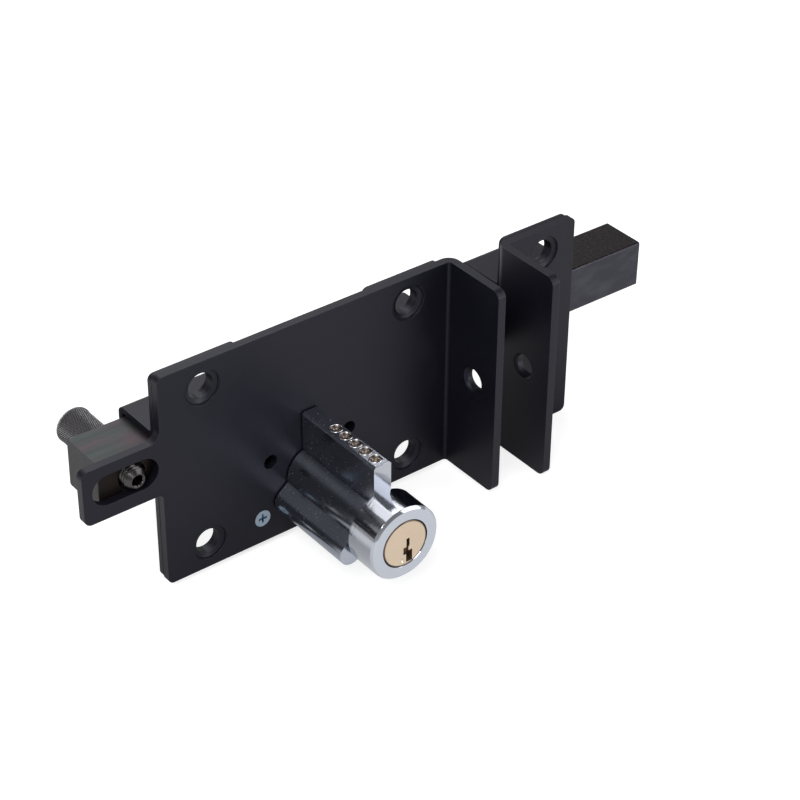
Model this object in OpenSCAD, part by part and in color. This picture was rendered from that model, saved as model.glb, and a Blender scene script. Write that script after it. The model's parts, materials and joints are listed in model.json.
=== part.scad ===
// Rim lock for a gate leaf: flanged front plate, square sliding bolt, keyed cylinder and a loose keeper.
// The origin is the middle of the four mounting holes on the plate's front face.
// +X points along the bolt towards the keeper, +Y away from the key and +Z up.

/* [Front plate] */
// Thickness of the plate and bracket sheet
sheet_t = 3; // [2:0.25:4]
// Height of the front plate
plate_h = 79; // [76:0.5:95]
// Distance from the hole pattern's middle to the plate's left edge
plate_left = 56.2; // [54:0.2:60]
// Distance from the hole pattern's middle to the inner face of the flange
plate_right = 56.8; // [56:0.2:62]
// Radius inside each bend of the plate and the bracket
bend_r = 1.2; // [0.6:0.1:2]
// Radius of the plate corners
corner_r = 2.2; // [1:0.1:4]
// Clearance between faces that slide past each other
slide_gap = 0.3; // [0.2:0.05:0.5]

/* [Flanges] */
// How far the front plate's flange stands in front of the plate
flange_depth = 25; // [22:0.1:32]
// How far the keeper's flange stands in front of its plate
keeper_flange_depth = 26.2; // [22:0.1:32]
// Radius of the flange corners
flange_corner_r = 3; // [1:0.25:5]
// Diameter of the hole in each flange
flange_hole_d = 7.5; // [5:0.25:9]
// Distance from the plate's front face to the middle of the flange hole
flange_hole_y = 13.3; // [10:0.1:16]
// Diameter of the bevelled mouth of the flange holes
flange_mouth_d = 9.2; // [7.6:0.1:11]
// Depth of that bevel
flange_mouth_depth = 0.9; // [0.3:0.1:1.5]

/* [Mounting holes] */
// Distance between the hole columns
hole_dx = 80; // [78:0.5:82]
// Distance between the hole rows
hole_dz = 60; // [58:0.5:64]
// Diameter of the mounting holes
hole_d = 9; // [6:0.25:10]
// Diameter of the pressed rim around each hole
sink_d = 12.7; // [11:0.1:14]
// Depth of the upright step at the rim's edge
sink_step = 0.35; // [0.1:0.05:0.6]
// Depth of the pressed rim
sink_depth = 1.1; // [0.7:0.1:1.4]

/* [Tab and slot] */
// How far the tab reaches past the plate's left edge
tab_reach = 28.2; // [27:0.2:34]
// Height of the tab
tab_h = 20.1; // [18:0.1:24]
// How much lower the tab's middle lies than the slot's
tab_sag = 0.6; // [0:0.1:1.2]
// Radius of the tab's outer corners
tab_corner_r = 2.7; // [1:0.1:4]
// Radius where the tab runs into the plate
tab_fillet_r = 4; // [1:0.25:6]
// Clearance between the stud and the slot's middle line, on the radius
slot_play = 1.6; // [1.5:0.05:2.2]
// How much lower the stud runs than the slot's middle
stud_sag = 1.3; // [0:0.1:1.4]
// Distance from the plate's left edge to the slot's near end
slot_margin = 1; // [0.5:0.1:2]

/* [Small holes] */
// Distance between the two small holes beside the cylinder
spare_dx = 31.2; // [30:0.2:34]
// Height of the small holes below the hole pattern's middle
spare_drop = 9; // [7:0.25:11]
// Diameter of the small holes
spare_d = 5.2; // [4:0.1:6]

/* [Bolt] */
// Width of the square bolt
bolt_w = 17.4; // [15:0.1:17.8]
// Length of the bolt
bolt_len = 223; // [215:0.5:240]
// Distance from the knob's axis to the bolt's near end
bolt_end = 12; // [9.5:0.1:14]
// Height of the bolt's middle above the hole pattern's middle
bolt_z = 5.4; // [5.2:0.1:6]
// How far the bolt leans in its guides, near end up, in degrees
bolt_lean = 0.5; // [0:0.05:0.7]
// Distance from the hole pattern's middle to the point where the leaning bolt has that height
lean_x = 34.5; // [30:0.5:40]
// Travel of the bolt
bolt_travel = 11.4; // [8:0.1:11.8]
// Radius of the bolt's long edges
bolt_edge_r = 0.8; // [0.2:0.1:1.5]

/* [Knob] */
// Diameter of the knob
knob_d = 12.9; // [11:0.1:16]
// Length of the knob
knob_len = 17.1; // [14:0.1:22]
// Width of the knob's edge bevel
knob_bevel = 0.6; // [0.3:0.1:1.2]
// Gap between the knob and the housing's left end with the bolt thrown
knob_gap = 2.25; // [0.5:0.05:3]
// Diameter of the stud over its threads
stud_d = 7.9; // [7.5:0.05:8.2]
// Height of the stud and the knob above the bolt's middle
stud_rise = 0.4; // [0:0.1:1.5]
// How far the stud stands in front of the plate's front face
stud_proud = 0.2; // [0:0.1:1]
// Distance between the stud's threads
thread_pitch = 1.25; // [1:0.05:1.5]
// Depth of the stud's threads
thread_depth = 0.6; // [0.3:0.05:0.8]
// Width of the bevel at the stud's tip
stud_tip = 0.9; // [0.4:0.1:1.2]
// Depth of the stud in the knob
stud_grip = 12; // [8:0.25:13]
// Size of the hexagon socket across its flats
stud_socket = 3.6; // [3:0.1:4]
// Depth of the hexagon socket
stud_socket_depth = 4; // [2:0.25:6]
// Diameter of the recess around the stud
stud_recess_d = 10; // [9:0.1:12]
// Depth of the recess around the stud
stud_recess_depth = 2.5; // [1:0.25:4]

/* [Bolt housing] */
// Thickness of the housing sheet
housing_t = 2; // [1.5:0.1:2.5]
// Free height above the leaning bolt in the housing
housing_play = 0.8; // [0.3:0.1:1.2]
// Free depth behind the bolt in the housing
housing_back_play = 1; // [0.3:0.1:2]
// How far the housing's left end stands out past the plate
housing_overhang = 0.1; // [0:0.1:1]
// Outside radius of the housing bends
housing_r = 3; // [2.6:0.1:4]
// Width of each housing ear, if it ended as far outside its hole as inside
ear_w = 31; // [26:0.25:31.5]
// How much lower the ears end than the plate
ear_inset = 0.7; // [0:0.1:1.5]
// Radius of the ear corners
ear_corner_r = 2.2; // [1:0.1:4]
// Distance from the hole pattern's middle to the housing's right end
housing_right = 55.2; // [54:0.2:57]

/* [Keeper] */
// Distance from the hole pattern's middle to the outer face of the keeper's flange
keeper_x = 78.7; // [68:0.1:95]
// Width of the keeper plate to the right of its flange
keeper_w = 29.6; // [25:0.1:36]
// Height of the keeper plate
keeper_h = 79; // [76:0.5:95]
// How much lower the keeper hangs than the front plate
keeper_drop = 2.3; // [0:0.1:4]
// Distance from the inner face of the keeper's flange to its hole column
keeper_hole_reach = 15.8; // [13:0.1:18]
// How much lower the keeper's flange hole lies than its plate's middle
keeper_hole_drop = 0.7; // [0:0.1:2]
// How much lower the keeper's ears end than its plate
keeper_ear_inset = 0.1; // [0:0.1:1.5]
// Height of the passage in the keeper
keeper_open_h = 29; // [27:0.5:32]
// Free height above the bolt in the keeper
keeper_play = 3.4; // [3:0.1:5]
// Free depth behind the bolt in the keeper
keeper_back_play = 1.5; // [1:0.1:3]

/* [Cylinder] */
// Drop from the hole pattern's middle to the cylinder's axis
cyl_drop = 18.3; // [17.5:0.1:19]
// Length of the cylinder in front of the plate
cyl_len = 50.1; // [48:0.5:60]
// Diameter of the barrel
barrel_d = 19.3; // [18.5:0.1:20]
// Diameter of the collar
collar_d = 26.4; // [24:0.2:30]
// Length of the collar
collar_len = 11.9; // [10:0.1:12]
// Width of the collar's front bevel
collar_bevel = 0.9; // [0.4:0.1:1.5]
// Width of the pin tower
tower_w = 6.7; // [6:0.1:8]
// Height of the tower's top above the axis
tower_h = 23.8; // [22:0.1:26]
// Bevel along the tower's top edges
tower_bevel = 0.8; // [0.3:0.1:1]
// Diameter of the two fixing lobes
lobe_d = 8.9; // [8:0.1:10]
// Sideways distance from the axis to each lobe
lobe_dx = 10.4; // [10:0.1:11]
// Drop from the axis to each lobe
lobe_drop = 7.5; // [7:0.1:8]
// Length of the lobes
lobe_len = 36; // [30:0.5:37]
// Slope of the flat from the barrel down to each lobe, in degrees
lobe_slope = 38.5; // [35:0.5:42]

/* [Plug and pins] */
// Diameter of the plug's head
plug_head_d = 16.7; // [15:0.1:17]
// Length of the plug's head
plug_head_len = 5; // [4:0.25:6]
// Diameter of the plug behind its head
plug_d = 13; // [12.5:0.1:13.2]
// Running clearance between round pieces and their bores, on the radius
fit_gap = 0.05; // [0.03:0.01:0.08]
// Diameter of the pins
pin_d = 2.9; // [2.6:0.1:3]
// Distance between the pins
pin_pitch = 5.1; // [4.8:0.1:5.2]
// Distance from the plate to the first pin
pin_first = 14.2; // [12:0.1:14.5]
// Number of pin chambers
pin_count = 5; // [5:1:5]
// Length of the driver pins
driver_len = 5.5; // [4:0.25:6.5]
// Shortest key pin
key_pin_min = 3.7; // [3:0.1:4]
// Step between one key pin length and the next
bitting_step = 0.5; // [0.3:0.05:0.5]
// Key pin lengths from the plate to the collar, in steps over the shortest
bitting = [2, 4, 1, 3, 2];
// Diameter of the caps that close the pin chambers
cap_d = 3.94; // [3.6:0.02:4.2]
// Length of the caps
cap_len = 2.1; // [1.5:0.1:2.3]
// How far the caps lie below the tower's top
cap_sunk = 0.5; // [0.1:0.1:0.8]
// Width of the bevel around the plug in the collar's face
mouth_bevel = 0.35; // [0.2:0.05:0.6]
// Width of the keyway's upper step
keyway_w = 1.2; // [1:0.1:1.4]
// Width of the keyway's middle step
keyway_mid_w = 2; // [1.6:0.1:2.2]
// Width of the keyway's foot
keyway_foot_w = 2.4; // [1.6:0.1:2.6]
// Height of the keyway's top above the axis
keyway_top = 1.6; // [1:0.1:2.4]
// Depth of the keyway's foot below the axis
keyway_bottom = 7.5; // [7:0.1:8.2]

/* [Pin springs] */
// Diameter of the spring wire
wire_d = 0.45; // [0.3:0.05:0.5]
// Outer diameter of the pin springs
coil_d = 2.5; // [2.2:0.05:2.6]
// Turns of each pin spring
coil_turns = 6; // [4:1:8]

/* [Cam and drive] */
// Thickness of the cam
cam_t = 3; // [2.5:0.1:3.2]
// Width of the cam's rim around the crank pin
cam_rim = 1.7; // [1:0.1:1.9]
// Diameter of the cam's hub
cam_hub_d = 12.8; // [11:0.1:14]
// Size of the square on the plug's tail
tail_square = 6; // [5:0.1:7]
// Diameter of the crank pin
crank_d = 4.5; // [4:0.1:5]
// Angle that the key turns through, in degrees
key_turn = 90; // [80:1:90]
// Sideways play of the crank pin in its fork
fork_play = 0.35; // [0.3:0.01:0.45]
// Width of each side of the fork
fork_wall = 3.4; // [2.5:0.1:4]
// Thickness of the fork plate
fork_t = 4; // [3:0.1:4.4]
// Depth of the fork plate's seat in the bolt
fork_seat = 7; // [6:0.25:9]
// Diameter of the pins that hold the fork plate
fork_pin_d = 3; // [2.5:0.1:3.5]

/* [Lock case] */
// Thickness of the case sheet
case_t = 1.5; // [1:0.1:2]
// Depth of the case behind the plate
case_depth = 14.5; // [14:0.1:18]
// Gap between the case and the housing ears beside it
case_gap = 0.5; // [0.3:0.05:1.2]
// Distance from the case's lower end to the plate's lower edge
case_margin = 2; // [0.5:0.1:4]
// Distance from each case screw to the case's outside
case_screw_inset = 4.6; // [4.2:0.1:5]
// Distance from the case screws to the plate's lower edge
case_screw_margin = 9.5; // [8:0.1:10.5]
// Diameter of the posts that take the case screws
post_d = 6.4; // [5.6:0.1:7]

/* [Screws] */
// Diameter of the case screws
case_screw_d = 2.9; // [2.5:0.1:3]
// Head diameter of the case screws
case_head_d = 6; // [5.4:0.1:6.5]
// Length of the case screws
case_screw_len = 10; // [8:0.5:14]
// Diameter of the cylinder screws
cyl_screw_d = 3.9; // [3:0.1:4]
// Head diameter of the cylinder screws
cyl_head_d = 7; // [6:0.1:7.4]
// Length of the cylinder screws below their head
cyl_screw_len = 12; // [8:0.5:16]
// Diameter of the cam screw
cam_screw_d = 2.9; // [2.5:0.1:3]
// Length of the cam screw below its head
cam_screw_len = 8; // [6:0.5:10]
// Diameter of the washer under the cam screw
washer_d = 8; // [7:0.1:9]

/* [Hidden] */
$fn = 64;

// Extra length that a cutting shape runs past the face it cuts
cut = 1;
// Clearance of a piece held tight in its seat, on the radius
seat_gap = 0.02;

// Bends: outer radius, and the middle of the front plate's bend
bend_outer = bend_r + sheet_t;
flange_outer = plate_right + sheet_t;
keeper_inner = keeper_x + sheet_t;

// Bolt: its box, and the free passage that the housing gives it
bolt_y = sheet_t + slide_gap;
bolt_back = bolt_y + bolt_w;
bolt_mid_y = bolt_y + bolt_w / 2;
bolt_top = bolt_z + bolt_w / 2;
bolt_bottom = bolt_z - bolt_w / 2;
housing_left = plate_left + housing_overhang;
lean_rise = (lean_x + housing_left) * sin(bolt_lean);
lean_drop = (housing_right - lean_x) * sin(bolt_lean);
passage_back = bolt_back + housing_back_play;
passage_top = bolt_top + lean_rise + housing_play;
passage_bottom = bolt_bottom - lean_drop - slide_gap;
knob_x = -(housing_left + knob_gap + knob_d / 2);
bolt_x = knob_x - bolt_end;
stud_z = bolt_z + stud_rise;
stud_front = -stud_proud;

// Slot: the stud stops against its far end when the bolt is drawn back, and rises a little on its way
tab_left = plate_left + tab_reach;
tab_z = stud_z + stud_sag;
slot_r = stud_d / 2 + slot_play;
slot_w = 2 * slot_r;
sag_back = stud_sag - bolt_travel * sin(bolt_lean);
stud_reach = sqrt(pow(slot_play, 2) - pow(sag_back, 2));
slot_far_x = knob_x - bolt_travel - slide_gap / 3 + stud_reach;
slot_near_x = -(plate_left + slot_margin) - slot_r;

// Cylinder: its axis, the pin chambers and the shear line
cyl_z = -cyl_drop;
collar_back = -(cyl_len - collar_len);
plug_r = plug_d / 2;
bore_r = plug_r + fit_gap;
chamber_r = pin_d / 2 + fit_gap;
key_pin_top = cyl_z + sqrt(pow(plug_r, 2) - pow(pin_d / 2, 2)) - seat_gap;
driver_bottom = cyl_z + bore_r + fit_gap;
driver_top = driver_bottom + driver_len;
cap_top = cyl_z + tower_h - cap_sunk;
cap_bottom = cap_top - cap_len;
cap_seat_r = cap_d / 2 + seat_gap + 0.01;

// Case: it fits between the housing's ears
case_w = hole_dx - ear_w - 2 * case_gap;
case_bottom = plate_h / 2 - case_margin;
case_screw_dx = case_w - 2 * case_screw_inset;
case_screw_drop = plate_h / 2 - case_screw_margin;

// Cam: the crank pin swings half of the key's turn to each side of the vertical
crank_r = bolt_travel / 2 / sin(key_turn / 2);
crank_x = bolt_travel / 2;
crank_rise = crank_r * cos(key_turn / 2);
plug_hole_d = plug_d + 5;
plug_shoulder = sheet_t - 0.4;
cam_y = sheet_t + 0.5;
washer_t = 0.5;
cam_head_t = 2;
cam_head_d = 5.6;
fork_y = bolt_mid_y - fork_t / 2;
fork_slot_w = crank_d + 2 * fork_play;
fork_half = fork_slot_w / 2 + fork_wall;
fork_slot_top = cyl_z + crank_r + crank_d / 2 + 0.5;
fork_foot = cyl_z + crank_rise - crank_d / 2 - 0.6;
crank_end = fork_y + fork_t + slide_gap;

// Clip: a ring in a groove behind the cylinder body
clip_t = 0.9;
groove_y = 0.1;
groove_depth = 0.9;

// Keeper: the passage is set from the bolt, the plate from its own drop
keeper_right = keeper_inner + keeper_w;
keeper_top = bolt_top + keeper_play;
keeper_bottom = keeper_top - keeper_open_h;
keeper_back = bolt_back + keeper_back_play;
keeper_hole_x = keeper_inner + keeper_hole_reach;

steel_black = [0.10, 0.10, 0.12];
steel_dark = [0.24, 0.23, 0.23];
steel_bright = [0.72, 0.74, 0.78];
brass = [0.86, 0.76, 0.62];

// Round bar or bore along Y
module bar_y(x, z, d, y0, y1) {
    translate([x, y0, z]) rotate([-90, 0, 0]) cylinder(d = d, h = y1 - y0);
}

// Cone along Y from one diameter to another
module cone_y(x, z, d0, d1, y0, y1) {
    translate([x, y0, z]) rotate([-90, 0, 0]) cylinder(d1 = d0, d2 = d1, h = y1 - y0);
}

// Round bore along X
module bar_x(y, z, d, x0, x1) {
    translate([x0, y, z]) rotate([0, 90, 0]) cylinder(d = d, h = x1 - x0);
}

// Upright corner waste: what rounding takes off a corner at (x, z); sx and sz point out of the corner
module corner_y(x, z, sx, sz, r, y0, y1) {
    difference() {
        translate([x - (sx > 0 ? r : cut), y0 - cut, z - (sz > 0 ? r : cut)])
            cube([r + cut, y1 - y0 + 2 * cut, r + cut]);
        bar_y(x - sx * r, z - sz * r, 2 * r, y0 - 2 * cut, y1 + 2 * cut);
    }
}

// The same waste on a flange, at (y, z)
module corner_x(y, z, sy, sz, r, x0, x1) {
    difference() {
        translate([x0 - cut, y - (sy > 0 ? r : cut), z - (sz > 0 ? r : cut)])
            cube([x1 - x0 + 2 * cut, r + cut, r + cut]);
        bar_x(y - sy * r, z - sz * r, 2 * r, x0 - 2 * cut, x1 + 2 * cut);
    }
}

// Fillet in an inner corner at (x, z); sx and sz point into the open side
module fillet_y(x, z, sx, sz, r, y0, y1) {
    difference() {
        translate([x - (sx > 0 ? 0 : r), y0, z - (sz > 0 ? 0 : r)]) cube([r, y1 - y0, r]);
        bar_y(x + sx * r, z + sz * r, 2 * r, y0 - cut, y1 + cut);
    }
}

// Quarter bend between a plate and its flange; side is 1 for a flange on the right and -1 on the left
module bend(x, side, z0, h) {
    translate([x, -bend_r, z0]) intersection() {
        difference() {
            cylinder(r = bend_outer, h = h);
            translate([0, 0, -cut]) cylinder(r = bend_r, h = h + 2 * cut);
        }
        translate([side > 0 ? 0 : -bend_outer, 0, 0]) cube([bend_outer, bend_outer, h]);
    }
}

// Mounting hole with its pressed rim
module mounting_hole(x, z) {
    bar_y(x, z, hole_d, -cut, sheet_t + cut);
    cone_y(x, z, sink_d, hole_d, sink_step, sink_depth);
    bar_y(x, z, sink_d, -cut, sink_step);
}

// Hole through a flange that starts at x, with a bevelled mouth on the side of the cylinder
module flange_hole(x, z) {
    bar_x(-flange_hole_y, z, flange_hole_d, x - cut, x + sheet_t + cut);
    bar_x(-flange_hole_y, z, flange_mouth_d, x - cut, x);
    translate([x, -flange_hole_y, z]) rotate([0, 90, 0])
        cylinder(d1 = flange_mouth_d, d2 = flange_hole_d, h = flange_mouth_depth);
}

module front_plate() {
    half_h = plate_h / 2;
    tab_top = tab_z - tab_sag + tab_h / 2;
    tab_low = tab_top - tab_h;
    color(steel_black) difference() {
        union() {
            translate([-plate_left, 0, -half_h])
                cube([plate_left + plate_right - bend_r, sheet_t, plate_h]);
            translate([-tab_left, 0, tab_low]) cube([tab_reach + cut, sheet_t, tab_h]);
            fillet_y(-plate_left, tab_top, -1, 1, tab_fillet_r, 0, sheet_t);
            fillet_y(-plate_left, tab_low, -1, -1, tab_fillet_r / 2, 0, sheet_t);
            bend(plate_right - bend_r, 1, -half_h, plate_h);
            translate([plate_right, -flange_depth, -half_h])
                cube([sheet_t, flange_depth - bend_r, plate_h]);
        }
        for (side = [-1, 1]) {
            corner_y(-plate_left, side * half_h, -1, side, corner_r, 0, sheet_t);
            corner_x(-flange_depth, side * half_h, -1, side, flange_corner_r, plate_right, flange_outer);
            corner_y(-tab_left, tab_z - tab_sag + side * tab_h / 2, -1, side, tab_corner_r, 0, sheet_t);
            bar_y(side * spare_dx / 2, -spare_drop, spare_d, -cut, sheet_t + cut);
            for (row = [-1, 1]) mounting_hole(side * hole_dx / 2, row * hole_dz / 2);
            bar_y(side * lobe_dx, cyl_z - lobe_drop, cyl_screw_d + 0.5, -cut, sheet_t + cut);
            bar_y(side * case_screw_dx / 2, -case_screw_drop, case_screw_d + 0.3, -cut, sheet_t + cut);
            cone_y(side * case_screw_dx / 2, -case_screw_drop, case_head_d + 0.2, case_screw_d + 0.2,
                0, (case_head_d - case_screw_d) / 2);
        }
        flange_hole(plate_right, 0);
        bar_y(slot_far_x, tab_z, slot_w, -cut, sheet_t + cut);
        bar_y(slot_near_x, tab_z, slot_w, -cut, sheet_t + cut);
        translate([slot_far_x, -cut, tab_z - slot_r])
            cube([slot_near_x - slot_far_x, sheet_t + 2 * cut, slot_w]);
        bar_y(0, cyl_z, plug_hole_d, -cut, sheet_t + cut);
    }
}

// Outline of a box in Y and Z with its two far corners rounded
module back_rounded(y0, y1, z0, z1, r) {
    translate([y0, z0]) square([y1 - y0 - r, z1 - z0]);
    translate([y0, z0 + r]) square([y1 - y0, z1 - z0 - 2 * r]);
    for (z = [z0 + r, z1 - r]) translate([y1 - r, z]) circle(r);
}

// Channel of bent sheet that a bolt passes through, open to the front and free as far as y_back
module channel(x0, x1, y_back, z0, z1) {
    translate([x0, 0, 0]) rotate([90, 0, 90]) linear_extrude(x1 - x0) difference() {
        back_rounded(sheet_t, y_back + housing_t, z0 - housing_t, z1 + housing_t, housing_r);
        back_rounded(sheet_t - cut, y_back, z0, z1, housing_r - housing_t);
    }
}

// Ear of a housing against the back of its plate; side is 1 above the channel and -1 below it
module ear(x0, x1, z_root, z_end, side) {
    difference() {
        union() {
            translate([x0, sheet_t, min(z_root, z_end)]) cube([x1 - x0, housing_t, abs(z_end - z_root)]);
            translate([x0, sheet_t + housing_t, z_root + side * housing_t]) rotate([90, 0, 90])
                linear_extrude(x1 - x0)
                difference() {
                    translate([-cut / 2, side > 0 ? -cut / 2 : -1]) square([1 + cut / 2, 1 + cut / 2]);
                    translate([1, side]) circle(1);
                }
        }
        for (end = [-1, 1])
            corner_y(end < 0 ? x0 : x1, z_end, end, side, ear_corner_r, sheet_t, sheet_t + housing_t);
    }
}

module bolt_housing() {
    ear_x = (hole_dx - ear_w) / 2;
    z_low = passage_bottom - housing_t;
    z_end = plate_h / 2 - ear_inset;
    window_half = crank_x + fork_half + 0.8;
    color(steel_black) difference() {
        union() {
            channel(-housing_left, housing_right, passage_back, passage_bottom, passage_top);
            for (span = [[-housing_left, -ear_x], [ear_x, housing_right]]) {
                ear(span[0], span[1], passage_top, z_end, 1);
                ear(span[0], span[1], passage_bottom, -z_end, -1);
            }
        }
        for (column = [-1, 1], row = [-1, 1])
            bar_y(column * hole_dx / 2, row * hole_dz / 2, hole_d, sheet_t - cut, sheet_t + housing_t + cut);
        translate([-window_half, fork_y - 0.5, z_low - cut])
            cube([2 * window_half, fork_t + 1, housing_t + 2 * cut]);
    }
}

// Square bar that leans in its guides; what it carries stands upright
module bolt() {
    half = bolt_w / 2;
    flat = bolt_w - 2 * bolt_edge_r;
    color(steel_dark) difference() {
        translate([lean_x, bolt_mid_y, bolt_z]) rotate([0, bolt_lean, 0])
            translate([bolt_x - lean_x, 0, 0]) rotate([90, 0, 90]) linear_extrude(bolt_len) {
                square([bolt_w, flat], center = true);
                square([flat, bolt_w], center = true);
                for (y = [-1, 1], z = [-1, 1])
                    translate([y * (half - bolt_edge_r), z * (half - bolt_edge_r)]) circle(bolt_edge_r);
            }
        bar_y(knob_x, stud_z, stud_d + 2 * fit_gap, bolt_y - cut, bolt_back + cut);
        bar_y(knob_x, stud_z, stud_recess_d, bolt_y - cut, bolt_y + stud_recess_depth);
        translate([crank_x - fork_half - seat_gap, fork_y - seat_gap, bolt_bottom - cut])
            cube([2 * (fork_half + seat_gap), fork_t + 2 * seat_gap, fork_seat + cut]);
        for (side = [-1, 1]) bar_y(crank_x + side * fork_half / 2, bolt_bottom + fork_seat / 2,
            fork_pin_d + 2 * seat_gap, bolt_y - cut, bolt_back + cut);
    }
}

// Plate that hangs from the bolt and takes the crank pin between its two sides
module bolt_fork() {
    z_top = bolt_bottom + fork_seat - seat_gap;
    color(steel_bright) difference() {
        translate([crank_x - fork_half, fork_y, fork_foot]) cube([2 * fork_half, fork_t, z_top - fork_foot]);
        translate([crank_x - fork_slot_w / 2, fork_y - cut, fork_foot - cut])
            cube([fork_slot_w, fork_t + 2 * cut, fork_slot_top - fork_foot + cut]);
        for (side = [-1, 1]) bar_y(crank_x + side * fork_half / 2, bolt_bottom + fork_seat / 2,
            fork_pin_d + 2 * seat_gap, fork_y - cut, fork_y + fork_t + cut);
    }
}

module fork_pins() {
    color(steel_bright) for (side = [-1, 1])
        bar_y(crank_x + side * fork_half / 2, bolt_bottom + fork_seat / 2, fork_pin_d,
            bolt_y + slide_gap, bolt_back - slide_gap);
}

module knob() {
    y_end = bolt_back + knob_len;
    color(steel_dark) difference() {
        union() {
            cone_y(knob_x, stud_z, knob_d - 2 * knob_bevel, knob_d, bolt_back, bolt_back + knob_bevel);
            bar_y(knob_x, stud_z, knob_d, bolt_back + knob_bevel, y_end - knob_bevel);
            cone_y(knob_x, stud_z, knob_d, knob_d - 2 * knob_bevel, y_end - knob_bevel, y_end);
        }
        bar_y(knob_x, stud_z, stud_d + 2 * fit_gap, bolt_back - cut, bolt_back + stud_grip + slide_gap);
    }
}

// Socket-headed stud through the bolt; its front end shows in the slot
module knob_stud() {
    y_end = bolt_back + stud_grip;
    root_r = stud_d / 2 - thread_depth;
    thread_y = stud_front + stud_tip;
    threads = floor((bolt_y + stud_recess_depth - thread_y) / thread_pitch);
    shank_y = thread_y + threads * thread_pitch;
    color(steel_bright) difference() {
        union() {
            cone_y(knob_x, stud_z, stud_d - 2 * stud_tip, stud_d, stud_front, thread_y);
            for (i = [0 : threads - 1]) {
                y0 = thread_y + i * thread_pitch;
                cone_y(knob_x, stud_z, stud_d, 2 * root_r, y0, y0 + thread_pitch / 2);
                cone_y(knob_x, stud_z, 2 * root_r, stud_d, y0 + thread_pitch / 2, y0 + thread_pitch);
            }
            bar_y(knob_x, stud_z, stud_d, shank_y, y_end);
        }
        translate([knob_x, stud_front - cut, stud_z]) rotate([-90, 0, 0])
            cylinder(d = stud_socket / cos(30), h = stud_socket_depth + cut, $fn = 6);
    }
}

// Outline of the cylinder body around its axis, in X and Z; the tower points up
module body_outline() {
    half = tower_w / 2;
    circle(d = barrel_d);
    polygon([[-half, 0], [half, 0], [half, tower_h - tower_bevel], [half - tower_bevel, tower_h],
        [-half + tower_bevel, tower_h], [-half, tower_h - tower_bevel]]);
}

// One fixing lobe and the flat that runs down to it from the barrel
module lobe_outline() {
    tangent = [lobe_dx + lobe_d / 2 * sin(lobe_slope), -lobe_drop + lobe_d / 2 * cos(lobe_slope)];
    flat_end = tangent + lobe_d * 0.55 * [-cos(lobe_slope), sin(lobe_slope)];
    translate([lobe_dx, -lobe_drop]) circle(d = lobe_d);
    polygon([tangent, flat_end, [0, -lobe_drop], [lobe_dx, -lobe_drop]]);
}

// Raises an outline in X and Z into a bar that ends at the plate
module extrude_y(length) {
    translate([0, 0, cyl_z]) rotate([90, 0, 0]) linear_extrude(length) children();
}

module cylinder_body() {
    head_back = -(cyl_len - plug_head_len);
    mouth_d = plug_head_d + 2 * fit_gap;
    color(steel_bright) difference() {
        union() {
            extrude_y(cyl_len - collar_len + 0.2) body_outline();
            extrude_y(lobe_len) {
                lobe_outline();
                mirror([1, 0]) lobe_outline();
            }
            bar_y(0, cyl_z, collar_d, -cyl_len + collar_bevel, collar_back);
            cone_y(0, cyl_z, collar_d - 2 * collar_bevel, collar_d, -cyl_len, -cyl_len + collar_bevel);
        }
        bar_y(0, cyl_z, 2 * bore_r, -cyl_len, cut);
        bar_y(0, cyl_z, mouth_d, -cyl_len - cut, head_back);
        cone_y(0, cyl_z, mouth_d + 2 * mouth_bevel, mouth_d, -cyl_len, -cyl_len + 2 * mouth_bevel);
        bar_y(0, cyl_z, mouth_d + 2 * mouth_bevel, -cyl_len - cut, -cyl_len);
        for (i = [0 : pin_count - 1]) translate([0, -pin_first - i * pin_pitch, cyl_z]) {
            cylinder(r = chamber_r, h = tower_h + cut);
            translate([0, 0, cap_bottom - cyl_z]) cylinder(r = cap_seat_r, h = tower_h);
        }
        for (side = [-1, 1]) bar_y(side * lobe_dx, cyl_z - lobe_drop, cyl_screw_d + 2 * fit_gap,
            -(cyl_screw_len - sheet_t + 1), cut);
    }
}

// Stepped key slot, drawn on the plug's face around the axis
module keyway_outline() {
    upper_x = 0.5;
    mid_x = -0.7;
    foot_x = 0.4;
    upper_foot = -1.6;
    mid_foot = -4.3;
    foot_top = -3.2;
    translate([upper_x, upper_foot]) square([keyway_w, keyway_top - upper_foot]);
    translate([mid_x, mid_foot]) square([keyway_mid_w, upper_foot - mid_foot]);
    translate([foot_x, -keyway_bottom]) square([keyway_foot_w, keyway_bottom + foot_top]);
}

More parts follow.
